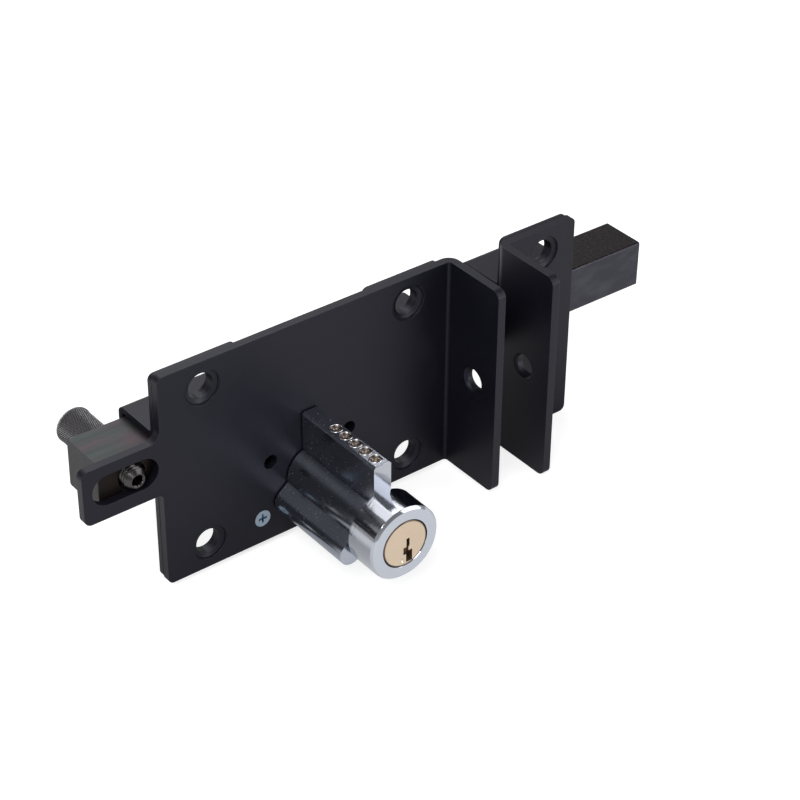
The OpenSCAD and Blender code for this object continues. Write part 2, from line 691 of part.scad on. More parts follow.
module plug() {
    head_end = -(cyl_len - plug_head_len) - fit_gap;
    keyway_len = cyl_len - pin_first + pin_pitch / 2;
    edge = mouth_bevel / 2;
    dimple_d = 1.6;
    dimple_x = -1;
    dimple_drop = 6.3;
    color(brass) difference() {
        union() {
            cone_y(0, cyl_z, plug_head_d - 2 * edge, plug_head_d, -cyl_len, -cyl_len + edge);
            bar_y(0, cyl_z, plug_head_d, -cyl_len + edge, head_end);
            bar_y(0, cyl_z, plug_d, head_end, plug_shoulder);
            translate([-tail_square / 2, plug_shoulder - cut, cyl_z - tail_square / 2])
                cube([tail_square, cam_y + cam_t - slide_gap - plug_shoulder + cut, tail_square]);
        }
        translate([0, -cyl_len + keyway_len, cyl_z]) rotate([90, 0, 0])
            linear_extrude(keyway_len + cut) keyway_outline();
        for (i = [0 : pin_count - 1])
            translate([0, -pin_first - i * pin_pitch, cyl_z]) cylinder(r = chamber_r, h = plug_d);
        difference() {
            bar_y(0, cyl_z, plug_d + cut, groove_y, groove_y + clip_t + 2 * seat_gap);
            bar_y(0, cyl_z, plug_d - 2 * groove_depth, groove_y - cut, groove_y + clip_t + cut);
        }
        bar_y(0, cyl_z, cam_screw_d + 2 * fit_gap, cam_y + cam_t - cam_screw_len, cam_y + cam_t + cut);
        cone_y(dimple_x, cyl_z - dimple_drop, dimple_d, dimple_d / 3, -cyl_len, -cyl_len + dimple_d / 5);
    }
}

module plug_clip() {
    clip_d = plug_hole_d - 2.4;
    mouth = plug_d * 0.45;
    color(steel_bright) difference() {
        bar_y(0, cyl_z, clip_d, groove_y + seat_gap, groove_y + seat_gap + clip_t);
        bar_y(0, cyl_z, plug_d - 2 * groove_depth + 2 * fit_gap, -cut, groove_y + clip_t + cut);
        translate([-mouth / 2, -cut, cyl_z - clip_d]) cube([mouth, clip_t + 2 * cut + groove_y, clip_d]);
    }
}

// Arm on the plug's tail; it leans towards the keeper by half of the key's turn
module cam() {
    arm_w = crank_d + 2 * cam_rim;
    color(steel_bright) difference() {
        union() {
            bar_y(0, cyl_z, cam_hub_d, cam_y, cam_y + cam_t);
            bar_y(crank_x, cyl_z + crank_rise, arm_w, cam_y, cam_y + cam_t);
            translate([0, cam_y, cyl_z]) rotate([0, key_turn / 2, 0])
                translate([-arm_w / 2, 0, 0]) cube([arm_w, cam_t, crank_r]);
        }
        translate([-tail_square / 2 - fit_gap, cam_y - cut, cyl_z - tail_square / 2 - fit_gap])
            cube([tail_square + 2 * fit_gap, cam_t + 2 * cut, tail_square + 2 * fit_gap]);
        bar_y(crank_x, cyl_z + crank_rise, crank_d + 2 * seat_gap, cam_y - cut, cam_y + cam_t + cut);
    }
}

module crank_pin() {
    color(steel_bright) bar_y(crank_x, cyl_z + crank_rise, crank_d, cam_y + 0.1, crank_end);
}

module cam_washer() {
    y0 = cam_y + cam_t;
    color(steel_bright) difference() {
        bar_y(0, cyl_z, washer_d, y0, y0 + washer_t);
        bar_y(0, cyl_z, cam_screw_d + 4 * fit_gap, y0 - cut, y0 + washer_t + cut);
    }
}

module cam_screw() {
    y0 = cam_y + cam_t + washer_t;
    color(steel_bright) difference() {
        union() {
            bar_y(0, cyl_z, cam_head_d, y0, y0 + cam_head_t);
            bar_y(0, cyl_z, cam_screw_d, y0 - cam_screw_len + 0.5, y0);
        }
        cross_recess(0, cyl_z, y0 + cam_head_t, -1, cam_head_d * 0.55);
    }
}

// Cross-shaped driver recess cut inwards from y; dir is the way it goes in
module cross_recess(x, z, y, dir, width) {
    depth = width * 0.45;
    for (turn = [0, 90]) translate([x, y + dir * (depth - cut) / 2, z]) rotate([0, turn, 0])
        cube([width, depth + cut, width / 4], center = true);
}

module key_pin(i) {
    length = key_pin_min + bitting_step * (len(bitting) > i ? bitting[i] : 2);
    tip = pin_d / 4;
    color(brass) translate([0, -pin_first - i * pin_pitch, key_pin_top - length]) {
        cylinder(d1 = pin_d / 3, d2 = pin_d, h = tip);
        translate([0, 0, tip]) cylinder(d = pin_d, h = length - tip);
    }
}

module driver_pin(i) {
    edge = 0.2;
    color(steel_bright) translate([0, -pin_first - i * pin_pitch, driver_bottom]) {
        cylinder(d1 = pin_d - 2 * edge, d2 = pin_d, h = edge);
        translate([0, 0, edge]) cylinder(d = pin_d, h = driver_len - edge);
    }
}

// Centre line of a pin spring: turns from 0 to coil_turns, standing between its pin and its cap
spring_low = driver_top + wire_d / 2 + fit_gap;
spring_high = cap_bottom - wire_d / 2 - fit_gap;
spring_r = (coil_d - wire_d) / 2;
rings_per_turn = 8;
wire_sides = 6;
function spring_point(t) = [spring_r * cos(360 * t), spring_r * sin(360 * t),
    spring_low + (spring_high - spring_low) * t / coil_turns];
// One ring of the wire: a hexagon across the coil's direction
function spring_ring(t) = let (c = spring_point(t)) [for (k = [0 : wire_sides - 1])
    let (a = 360 * k / wire_sides, out = wire_d / 2 * cos(a))
    [c[0] + out * cos(360 * t), c[1] + out * sin(360 * t), c[2] + wire_d / 2 * sin(a)]];
spring_rings = coil_turns * rings_per_turn;
function wire_face(i, k) = let (a = i * wire_sides + k, b = i * wire_sides + (k + 1) % wire_sides)
    [[a, b, a + wire_sides], [b, b + wire_sides, a + wire_sides]];
// Least gap between points one turn apart along the wire, less the wire itself
spring_gap = min([for (i = [0 : spring_rings - rings_per_turn])
    norm(spring_point(i / rings_per_turn + 1) - spring_point(i / rings_per_turn))]) - wire_d;
echo(str("least gap in a pin spring: ", spring_gap, " mm"));

module pin_spring(i) {
    points = [for (n = [0 : spring_rings]) each spring_ring(n / rings_per_turn)];
    last = spring_rings * wire_sides;
    sides = [for (n = [0 : spring_rings - 1], k = [0 : wire_sides - 1]) each wire_face(n, k)];
    low_end = [for (k = [1 : wire_sides - 2]) [0, k + 1, k]];
    high_end = [for (k = [1 : wire_sides - 2]) [last, last + k, last + k + 1]];
    color(steel_bright) translate([0, -pin_first - i * pin_pitch, 0])
        polyhedron(points = points, faces = concat(sides, low_end, high_end));
}

module chamber_cap(i) {
    color(brass) translate([0, -pin_first - i * pin_pitch, cap_bottom]) difference() {
        cylinder(d = cap_d, h = cap_len);
        translate([0, 0, cap_len - 0.6]) cylinder(d1 = 1.2, d2 = 2.8, h = 0.61);
    }
}

module cylinder_screws() {
    head_h = 2.8;
    color(steel_bright) for (side = [-1, 1]) difference() {
        union() {
            bar_y(side * lobe_dx, cyl_z - lobe_drop, cyl_screw_d, sheet_t - cyl_screw_len, sheet_t + cut);
            bar_y(side * lobe_dx, cyl_z - lobe_drop, cyl_head_d, sheet_t, sheet_t + head_h);
        }
        translate([side * lobe_dx, sheet_t + head_h / 3, cyl_z - lobe_drop]) rotate([-90, 0, 0])
            cylinder(d = cyl_screw_d / cos(30) * 0.75, h = head_h, $fn = 6);
    }
}

// Pan behind the plate around the cam, open to the front and to the housing above
module lock_case() {
    top = passage_bottom - housing_t - slide_gap;
    height = top + case_bottom;
    color(steel_black) difference() {
        union() {
            difference() {
                translate([-case_w / 2, sheet_t, -case_bottom]) cube([case_w, case_depth, height]);
                translate([-case_w / 2 + case_t, sheet_t - cut, -case_bottom + case_t])
                    cube([case_w - 2 * case_t, case_depth - case_t + cut, height]);
            }
            for (side = [-1, 1]) bar_y(side * case_screw_dx / 2, -case_screw_drop, post_d,
                sheet_t, sheet_t + case_depth - case_t / 2);
        }
        for (side = [-1, 1]) {
            bar_y(side * case_screw_dx / 2, -case_screw_drop, case_screw_d + 2 * fit_gap,
                sheet_t - cut, case_screw_len + 0.5);
            corner_y(side * case_w / 2, -case_bottom, side, -1, case_t, sheet_t, sheet_t + case_depth);
        }
    }
}

module case_screws() {
    head_h = (case_head_d - case_screw_d) / 2;
    color(steel_bright) for (side = [-1, 1]) difference() {
        union() {
            cone_y(side * case_screw_dx / 2, -case_screw_drop, case_head_d, case_screw_d, 0, head_h);
            bar_y(side * case_screw_dx / 2, -case_screw_drop, case_screw_d, head_h, case_screw_len);
        }
        cross_recess(side * case_screw_dx / 2, -case_screw_drop, 0, 1, case_head_d * 0.55);
    }
}

module keeper_bracket() {
    z0 = -keeper_drop - keeper_h / 2;
    color(steel_black) difference() {
        union() {
            translate([keeper_inner + bend_r, 0, z0]) cube([keeper_w - bend_r, sheet_t, keeper_h]);
            bend(keeper_inner + bend_r, -1, z0, keeper_h);
            translate([keeper_x, -keeper_flange_depth, z0])
                cube([sheet_t, keeper_flange_depth - bend_r, keeper_h]);
        }
        for (row = [-1, 1]) {
            corner_y(keeper_right, -keeper_drop + row * keeper_h / 2, 1, row, corner_r, 0, sheet_t);
            corner_x(-keeper_flange_depth, -keeper_drop + row * keeper_h / 2, -1, row, flange_corner_r,
                keeper_x, keeper_inner);
            mounting_hole(keeper_hole_x, -keeper_drop + row * hole_dz / 2);
        }
        flange_hole(keeper_x, -keeper_drop - keeper_hole_drop);
    }
}

module keeper_housing() {
    x0 = keeper_inner;
    x1 = keeper_right - ear_inset;
    z_end = keeper_h / 2 - keeper_ear_inset;
    color(steel_black) difference() {
        union() {
            channel(x0, x1, keeper_back, keeper_bottom, keeper_top);
            ear(x0, x1, keeper_top, -keeper_drop + z_end, 1);
            ear(x0, x1, keeper_bottom, -keeper_drop - z_end, -1);
        }
        for (row = [-1, 1]) bar_y(keeper_hole_x, -keeper_drop + row * hole_dz / 2, hole_d,
            sheet_t - cut, sheet_t + housing_t + cut);
    }
}

front_plate();
bolt_housing();
bolt();
bolt_fork();
fork_pins();
knob();
knob_stud();
cylinder_body();
plug();
plug_clip();
cam();
crank_pin();
cam_washer();
cam_screw();
key_pin(0);  // key_pin_1
key_pin(1);  // key_pin_2
key_pin(2);  // key_pin_3
key_pin(3);  // key_pin_4
key_pin(4);  // key_pin_5
driver_pin(0);  // driver_pin_1
driver_pin(1);  // driver_pin_2
driver_pin(2);  // driver_pin_3
driver_pin(3);  // driver_pin_4
driver_pin(4);  // driver_pin_5
pin_spring(0);  // pin_spring_1
pin_spring(1);  // pin_spring_2
pin_spring(2);  // pin_spring_3
pin_spring(3);  // pin_spring_4
pin_spring(4);  // pin_spring_5
chamber_cap(0);  // chamber_cap_1
chamber_cap(1);  // chamber_cap_2
chamber_cap(2);  // chamber_cap_3
chamber_cap(3);  // chamber_cap_4
chamber_cap(4);  // chamber_cap_5
cylinder_screws();
lock_case();
case_screws();
keeper_bracket();
keeper_housing();
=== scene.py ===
# %% [markdown]
# # A gate's rim lock
#
# The lock is a bent black plate with a square bolt behind it, a plated cylinder in front and a loose keeper.
# Its construction comes finished from the CAD model. This lesson gives every surface its finish, rounds the
# edges as paint and polishing do, and builds in mesh code what the CAD model leaves plain: the knob's knurl,
# the stud's thread and the staked rims on the cylinder's tower.

# %% Load the frame
import json
import math
import bmesh
import bpy
from mathutils import Matrix, Vector


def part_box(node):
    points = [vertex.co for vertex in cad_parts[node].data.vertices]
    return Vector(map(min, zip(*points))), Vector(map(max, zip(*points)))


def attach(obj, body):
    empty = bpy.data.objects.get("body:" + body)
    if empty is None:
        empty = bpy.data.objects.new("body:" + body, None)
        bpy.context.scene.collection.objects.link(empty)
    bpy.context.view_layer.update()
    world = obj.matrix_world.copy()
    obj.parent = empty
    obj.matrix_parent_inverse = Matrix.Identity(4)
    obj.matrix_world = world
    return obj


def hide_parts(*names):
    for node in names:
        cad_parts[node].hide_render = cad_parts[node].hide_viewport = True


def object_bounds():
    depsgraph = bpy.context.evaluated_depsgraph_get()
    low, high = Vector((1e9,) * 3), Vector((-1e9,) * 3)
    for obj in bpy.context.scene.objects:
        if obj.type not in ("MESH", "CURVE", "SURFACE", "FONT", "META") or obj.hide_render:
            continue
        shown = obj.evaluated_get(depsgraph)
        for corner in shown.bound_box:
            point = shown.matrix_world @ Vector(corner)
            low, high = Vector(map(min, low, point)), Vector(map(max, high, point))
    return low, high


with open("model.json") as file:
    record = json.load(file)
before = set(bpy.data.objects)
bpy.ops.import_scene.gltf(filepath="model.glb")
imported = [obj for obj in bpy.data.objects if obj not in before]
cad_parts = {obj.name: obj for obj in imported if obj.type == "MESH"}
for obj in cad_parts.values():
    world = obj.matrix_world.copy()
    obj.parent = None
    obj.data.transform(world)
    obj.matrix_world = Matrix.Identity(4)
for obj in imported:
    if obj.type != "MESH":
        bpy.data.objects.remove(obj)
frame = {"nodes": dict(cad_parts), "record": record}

cad_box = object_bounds()
nodes = frame["nodes"]
MM = 0.001
print("CAD box in mm:", [[round(v / MM, 1) for v in corner] for corner in cad_box])

# %% [markdown]
# ## The camera
#
# A product photograph is taken from a few steps away with a long lens, so the lock shows hardly any
# perspective. A camera could be set up by eye, but this one was solved from the plate's corners and holes,
# because only then does each piece fall where the photograph shows it. It is given in the lock's own frame:
# its place, its turn around the lock, its height above the horizon and a slight roll.

# %% Camera
camera_place = Vector((-350.77, -492.45, 425.75)) * MM
camera_turn, camera_height, camera_roll = (math.radians(a) for a in (-38.205, 34.611, 0.526))
camera_lens_mm = 103.38
sensor_width_mm = 36
nearest_seen = 0.01


def add_object(name, data):
    """A new object in the scene, at the origin."""
    thing = bpy.data.objects.new(name, data)
    bpy.context.scene.collection.objects.link(thing)
    return thing


back = Vector((math.sin(camera_turn) * math.cos(camera_height),
               -math.cos(camera_turn) * math.cos(camera_height),
               math.sin(camera_height)))
right = Vector((0, 0, 1)).cross(back).normalized()
up = back.cross(right)
side = right * math.cos(camera_roll) + up * math.sin(camera_roll)
top = up * math.cos(camera_roll) - right * math.sin(camera_roll)
camera_axes = Matrix((side, top, back)).transposed().to_4x4()

camera_data = bpy.data.cameras.new("camera")
camera_data.lens = camera_lens_mm
camera_data.sensor_width = sensor_width_mm
camera_data.clip_start = nearest_seen
camera = add_object("camera", camera_data)
camera.matrix_world = Matrix.Translation(camera_place) @ camera_axes
bpy.context.scene.camera = camera
print("camera looks along", [round(v, 3) for v in -back])

# %% [markdown]
# ## Floor
#
# The photograph is cut out on pure white. Strong lamps would make a grey floor white, but they would bleach
# the lock too. So the floor shines by itself where the camera looks at it, and still shows the soft shadow
# under the lock. Mirrored and transmitted rays find it shining at a lower level, and nearly dark under the
# lock, where a real floor lies in shade: that is what the plates and the barrel mirror.

# %% Node helpers
def add_node(tree, kind, **settings):
    """A shader node with its settings."""
    node = tree.nodes.new("ShaderNode" + kind)
    for name, value in settings.items():
        setattr(node, name, value)
    return node


def join(tree, source, target):
    """Links an output to an input, or sets a plain value on it."""
    if isinstance(source, bpy.types.NodeSocket):
        tree.links.new(source, target)
    else:
        target.default_value = source


def maths(tree, operation, a, b=0.0, c=0.0, clamp=False):
    """The result of a Math node."""
    node = add_node(tree, "Math", operation=operation, use_clamp=clamp)
    for value, socket in zip((a, b, c), node.inputs):
        join(tree, value, socket)
    return node.outputs[0]


def apart(tree, a, b):
    """How far two values lie apart."""
    return maths(tree, "ABSOLUTE", maths(tree, "SUBTRACT", a, b))


def remap(tree, value, low, high, to_low=0.0, to_high=1.0, smooth=False):
    """Value from one range to another, clamped, along a straight line or a smooth step."""
    node = add_node(tree, "MapRange", interpolation_type="SMOOTHSTEP" if smooth else "LINEAR")
    numbers = {"Value": value, "From Min": low, "From Max": high, "To Min": to_low, "To Max": to_high}
    for title, number in numbers.items():
        join(tree, number, node.inputs[title])
    return node.outputs[0]


def place_axes(tree):
    """Object coordinates as separate X, Y and Z outputs."""
    place = add_node(tree, "SeparateXYZ")
    join(tree, add_node(tree, "TexCoord").outputs["Object"], place.inputs[0])
    return place.outputs


# %% The floor's glow
footprint = {"X": (-55 * MM, 115 * MM), "Y": (0, 25 * MM)}
shadow_reach = 55 * MM
floor_seen = 0.7
floor_mirrored_near = 0.08
floor_mirrored_far = 0.38


def painted_ground_shadow(tree):
    """Mirror level of the floor, a painted shadow: lowest in the lock's footprint, rising away from it."""
    place = place_axes(tree)
    squares = []
    for axis, (start, end) in footprint.items():
        off = maths(tree, "SUBTRACT", apart(tree, place[axis], (start + end) / 2), (end - start) / 2)
        off = maths(tree, "MAXIMUM", off, 0.0)
        squares.append(maths(tree, "MULTIPLY", off, off))
    gap = maths(tree, "SQRT", maths(tree, "ADD", *squares))
    return remap(tree, gap, 0.0, shadow_reach, floor_mirrored_near, floor_mirrored_far, smooth=True)


def floor_glow(tree):
    """The glow that a ray finds: one level for the camera, one for mirrored and transmitted rays, else 0."""
    rays = add_node(tree, "LightPath").outputs
    mirrored = maths(tree, "ADD", rays["Is Glossy Ray"], rays["Is Transmission Ray"], clamp=True)
    # Mirrored rays find the glow dimmed under the lock: a painted shadow.
    level = maths(tree, "MULTIPLY", mirrored, painted_ground_shadow(tree))
    return maths(tree, "MULTIPLY_ADD", rays["Is Camera Ray"], floor_seen, level)


# %% Floor
floor_gap = 0.2 * MM
floor_half_width = 4
floor_grey = 0.5
floor_z = cad_box[0][2] - floor_gap


def mesh_from(shape, name):
    """Turns a finished bmesh into a mesh."""
    mesh = bpy.data.meshes.new(name)
    shape.to_mesh(mesh)
    shape.free()
    return mesh


sheet = bmesh.new()
bmesh.ops.create_grid(sheet, x_segments=1, y_segments=1, size=floor_half_width)
bmesh.ops.translate(sheet, vec=(0, 0, floor_z), verts=sheet.verts)
floor = add_object("floor", mesh_from(sheet, "floor"))

floor_paint = bpy.data.materials.new("floor_white")
floor_paint.use_nodes = True
tree = floor_paint.node_tree
tree.nodes.clear()
diffuse = add_node(tree, "BsdfDiffuse")
diffuse.inputs["Color"].default_value = (floor_grey, floor_grey, floor_grey, 1)
glow = add_node(tree, "Emission")
join(tree, floor_glow(tree), glow.inputs["Strength"])
both = add_node(tree, "AddShader")
join(tree, diffuse.outputs[0], both.inputs[0])
join(tree, glow.outputs[0], both.inputs[1])
join(tree, both.outputs[0], add_node(tree, "OutputMaterial").inputs["Surface"])
floor.data.materials.append(floor_paint)
print("floor at", round(floor_z / MM, 1), "mm")

# %% [markdown]
# ## World
#
# A studio's light tent lights the lock from all sides. A picture of a studio could surround the scene, but a
# plain dome is enough: mirrored rays find it a little brighter at the horizon than overhead, matt surfaces
# get an even light from it, and the camera sees it pure white.

# %% World
matt_sky = 0.4
horizon_sky = 0.48
overhead_sky = 0.30
horizon_sine, overhead_sine = 0.05, 0.6

world = bpy.data.worlds.new("white_studio")
bpy.context.scene.world = world
world.use_nodes = True
tree = world.node_tree
tree.nodes.clear()
sky = add_node(tree, "Background")
sky.inputs["Color"].default_value = (1, 1, 1, 1)
direction = add_node(tree, "SeparateXYZ")
join(tree, add_node(tree, "TexCoord").outputs["Generated"], direction.inputs[0])
dome = remap(tree, direction.outputs["Z"], horizon_sine, overhead_sine, horizon_sky, overhead_sky,
             smooth=True)
rays = add_node(tree, "LightPath").outputs
lit = maths(tree, "MULTIPLY_ADD", rays["Is Glossy Ray"], maths(tree, "SUBTRACT", dome, matt_sky), matt_sky)
white = maths(tree, "MAXIMUM", rays["Is Camera Ray"], rays["Is Transmission Ray"])
join(tree, maths(tree, "MAXIMUM", white, lit), sky.inputs["Strength"])
join(tree, sky.outputs[0], add_node(tree, "OutputWorld").inputs["Surface"])
bpy.context.scene.view_settings.view_transform = "Standard"
print("sky:", matt_sky, "for matt surfaces,", horizon_sky, "to", overhead_sky, "in mirrors")

# %% [markdown]
# ## Lamps
#
# Polished metal shows its lamps, so where a lamp stands matters more than its strength. The rim and back
# lamps stand behind the lock, where the tops of the bolt and of the sheets mirror them towards the camera.
# The key lamp in front lights the plates, and the low front lamp the cylinder's face.

# %% Lamps
lamp_aim = Vector((0.02, -0.01, 0.0))


def soft_lamp(name, place, size, watts):
    """A square area lamp at a place, turned to the lock."""
    data = bpy.data.lights.new(name, "AREA")
    data.size = size
    data.energy = watts
    look = (lamp_aim - Vector(place)).to_track_quat("-Z", "Y")
    add_object(name, data).matrix_world = Matrix.Translation(place) @ look.to_matrix().to_4x4()


soft_lamp("key_lamp", (-0.7, -0.5, 1.0), size=0.8, watts=12)
soft_lamp("fill_lamp", (0.9, -0.7, 0.6), size=0.9, watts=5)
soft_lamp("front_lamp", (0.55, -1.0, 0.12), size=0.35, watts=3)
soft_lamp("rim_lamp", (-0.05, 0.95, 1.0), size=0.9, watts=3.2)
soft_lamp("back_lamp", (0.42, 0.95, 0.8), size=0.7, watts=3.0)

# %% [markdown]
# ## Shared effects
#
# Black paint, drawn steel and plating all need a little unevenness at the scale of the real finish. Images
# could hold it, but a noise has no seams and stays sharp up close. Each effect is a shader node group with
# named inputs, built once. The groups give only masks and heights: the shader stays in each material, where
# its constant values are set. All patterns are read from object coordinates, which ride with the piece.

# %% Group helpers
def new_group(name, inputs, outputs):
    """An empty node group with float inputs (name: default) and named outputs."""
    group = bpy.data.node_groups.new(name, "ShaderNodeTree")
    for title, default in inputs.items():
        socket = group.interface.new_socket(title, in_out="INPUT", socket_type="NodeSocketFloat")
        socket.default_value = default
    for title in outputs:
        group.interface.new_socket(title, in_out="OUTPUT", socket_type="NodeSocketFloat")
    return group, group.nodes.new("NodeGroupInput"), group.nodes.new("NodeGroupOutput")


def noise(tree, per_metre, detail, roughness=0.5, stretch=(1, 1, 1)):
    """A noise in object coordinates, with its waves per metre and a factor for each axis."""
    spread = add_node(tree, "VectorMath", operation="MULTIPLY")
    join(tree, add_node(tree, "TexCoord").outputs["Object"], spread.inputs[0])
    spread.inputs[1].default_value = stretch
    grow = add_node(tree, "VectorMath", operation="SCALE")
    join(tree, spread.outputs[0], grow.inputs[0])
    join(tree, per_metre, grow.inputs["Scale"])
    node = add_node(tree, "TexNoise")
    join(tree, grow.outputs[0], node.inputs["Vector"])
    for title, value in (("Scale", 1.0), ("Detail", detail), ("Roughness", roughness)):
        node.inputs[title].default_value = value
    return node.outputs["Fac"]


# %% Broken edge mask
def build_broken_edge_mask():
    """Mask of the edges: where a rounded normal leaves the flat one, broken up by a noise."""
    group, given, result = new_group("broken_edge_mask", {"Width": 0.5 * MM, "Breakup": 0.5}, ["Mask"])
    rounded = add_node(group, "Bevel", samples=6)
    join(group, given.outputs["Width"], rounded.inputs["Radius"])
    flat = add_node(group, "NewGeometry")
    turn = add_node(group, "VectorMath", operation="DOT_PRODUCT")
    join(group, rounded.outputs[0], turn.inputs[0])
    join(group, flat.outputs["True Normal"], turn.inputs[1])
    still_flat, fully_turned = 0.995, 0.86
    edge = remap(group, turn.outputs["Value"], still_flat, fully_turned)
    patches = remap(group, noise(group, per_metre=900.0, detail=4.0), 0.35, 0.65)
    missing = maths(group, "SUBTRACT", patches, 1.0)
    broken = maths(group, "MULTIPLY_ADD", missing, given.outputs["Breakup"], 1.0)
    join(group, maths(group, "MULTIPLY", edge, broken, clamp=True), result.inputs["Mask"])
    return group


broken_edge_mask = build_broken_edge_mask()
print("edge wear:", len(broken_edge_mask.nodes), "nodes")


# %% Orange peel
def build_orange_peel():
    """A sprayed or plated coat: fine soft bumps, slow clouds in tone and gloss, and rare specks."""
    group, given, result = new_group("orange_peel", {"Bump Scale": 900.0}, ["Height", "Clouds", "Specks"])
    fine = noise(group, given.outputs["Bump Scale"], detail=2.0, roughness=0.55)
    clouds = noise(group, per_metre=28.0, detail=3.0, roughness=0.6)
    specks = noise(group, per_metre=2600.0, detail=1.0)
    join(group, fine, result.inputs["Height"])
    join(group, remap(group, clouds, 0.3, 0.7), result.inputs["Clouds"])
    join(group, remap(group, specks, 0.76, 0.84), result.inputs["Specks"])
    return group


orange_peel = build_orange_peel()
print("orange peel:", len(orange_peel.nodes), "nodes")


# %% Brushed lines
def build_brushed_lines():
    """Fine scratches along X, and broader stains that run the same way."""
    group, given, result = new_group("brushed_lines", {"Line Scale": 5000.0}, ["Height", "Streaks"])
    lines = noise(group, given.outputs["Line Scale"], detail=3.0, roughness=0.6, stretch=(0.012, 1, 1))
    streaks = noise(group, per_metre=420.0, detail=4.0, roughness=0.6, stretch=(0.05, 1, 1))
    join(group, lines, result.inputs["Height"])
    join(group, remap(group, streaks, 0.3, 0.7), result.inputs["Streaks"])
    return group


brushed_lines = build_brushed_lines()
print("brushed lines:", len(brushed_lines.nodes), "nodes")


# %% Turned rings
def build_turned_rings():
    """The rings that a lathe leaves around a line along Y at the height Axis Z, and the distance from it."""
    inputs = {"Axis Z": 0.0, "Pitch": 0.1 * MM}
    group, given, result = new_group("turned_rings", inputs, ["Height", "Radius"])
    place = place_axes(group)
    across = add_node(group, "CombineXYZ")
    join(group, place["X"], across.inputs["X"])
    join(group, maths(group, "SUBTRACT", place["Z"], given.outputs["Axis Z"]), across.inputs["Y"])
    radius = add_node(group, "VectorMath", operation="LENGTH")
    join(group, across.outputs[0], radius.inputs[0])
    turns = maths(group, "DIVIDE", radius.outputs["Value"], given.outputs["Pitch"])
    wobble = 1.5
    uneven = maths(group, "MULTIPLY_ADD", noise(group, per_metre=500.0, detail=2.0), wobble, turns)
    wave = maths(group, "SINE", maths(group, "MULTIPLY", uneven, math.tau))
    join(group, wave, result.inputs["Height"])
    join(group, radius.outputs["Value"], result.inputs["Radius"])
    return group


turned_rings = build_turned_rings()
print("turned rings:", len(turned_rings.nodes), "nodes")

# %% [markdown]
# ## Black powder coat
#
# The sheet parts are coated satin black. A glossy black would be quicker, but up close the real coat has a
# fine orange peel, tiny pale specks, and thin, glossier edges, and a press has left a fine groove around
# each mounting hole. The paler edge colour is in part a painted highlight. The groove is far too fine to cut
# into the sheet, so it is a height in the coat, worked out from the places of the holes in the record.

# %% Material helpers
# The Mix node holds inputs and an output for each kind of data. These are the ones for colours.
MIX_FIRST, MIX_SECOND, MIX_RESULT = 6, 7, 2


def new_finish(name, **shader_values):
    """A material with its Principled shader's constant values set."""
    finish = bpy.data.materials.new(name)
    finish.use_nodes = True
    shader = finish.node_tree.nodes["Principled BSDF"]
    for title, value in shader_values.items():
        shader.inputs[title.replace("_", " ")].default_value = value
    return finish, finish.node_tree, shader


def place_group(tree, group, **values):
    """The outputs of a group node with its input values set."""
    node = add_node(tree, "Group", node_tree=group)
    for title, value in values.items():
        node.inputs[title.replace("_", " ")].default_value = value
    return node.outputs


def mix_colour(tree, factor, first, second, share=1):
    """The first colour, with a share of the second where the factor is 1. Each is an output or a triple."""
    node = add_node(tree, "Mix", data_type="RGBA")
    join(tree, factor if share == 1 else maths(tree, "MULTIPLY", factor, share), node.inputs[0])
    for colour, slot in ((first, MIX_FIRST), (second, MIX_SECOND)):
        plain = not isinstance(colour, bpy.types.NodeSocket)
        join(tree, (*colour, 1) if plain else colour, node.inputs[slot])
    return node.outputs[MIX_RESULT]


def between(tree, factor, start, end):
    """A value that is start where the factor is 0, and end where it is 1."""
    return maths(tree, "MULTIPLY_ADD", factor, end - start, start)


def near_face(tree, value, face, near, far):
    """Mask of a thin layer at a face: 1 up to near from it, fading to 0 at far from it."""
    return remap(tree, value, face + far, face + near)


def add_bump(tree, shader, height, depth, under=None):
    """A bump of a depth in metres, on top of another normal."""
    bump = add_node(tree, "Bump")
    bump.inputs["Strength"].default_value = 1
    bump.inputs["Distance"].default_value = depth
    join(tree, height, bump.inputs["Height"])
    if under is not None:
        join(tree, under, bump.inputs["Normal"])
    join(tree, bump.outputs[0], shader.inputs["Normal"])
    return bump.outputs[0]


# %% Press groove around the mounting holes
mounts = {mount["name"]: mount for mount in frame["record"]["mounts"]}
face_holes = mounts["face_pattern"]["dims"]
keeper_x, _, keeper_z = mounts["keeper_holes"]["pos_m"]
between_plates_x = 70 * MM
groove_r = 6.2 * MM
groove_half_width = 0.4 * MM
groove_depth = 0.3 * MM


def press_groove(tree):
    """Height around the mounting holes of both plates: 0 in the groove and 1 beside it."""
    place = place_axes(tree)
    column = apart(tree, maths(tree, "ABSOLUTE", place["X"]), face_holes["spacing_x_mm"] / 2 * MM)
    column = maths(tree, "MINIMUM", column, apart(tree, place["X"], keeper_x))
    on_keeper = maths(tree, "GREATER_THAN", place["X"], between_plates_x)
    level = maths(tree, "MULTIPLY_ADD", on_keeper, -keeper_z, place["Z"])
    row = apart(tree, maths(tree, "ABSOLUTE", level), face_holes["spacing_y_mm"] / 2 * MM)
    squares = maths(tree, "MULTIPLY_ADD", column, column, maths(tree, "MULTIPLY", row, row))
    off = apart(tree, maths(tree, "SQRT", squares), groove_r)
    return remap(tree, off, 0.0, groove_half_width, smooth=True)


# %% Powder coat
coat_dark, coat_light = (0.0042, 0.0040, 0.0078), (0.0064, 0.0060, 0.0108)
coat_speck = (0.07, 0.07, 0.08)
# Paler edge colour: a thinner coat, with a painted edge highlight.
thin_edge_and_highlight = (0.06, 0.06, 0.075)


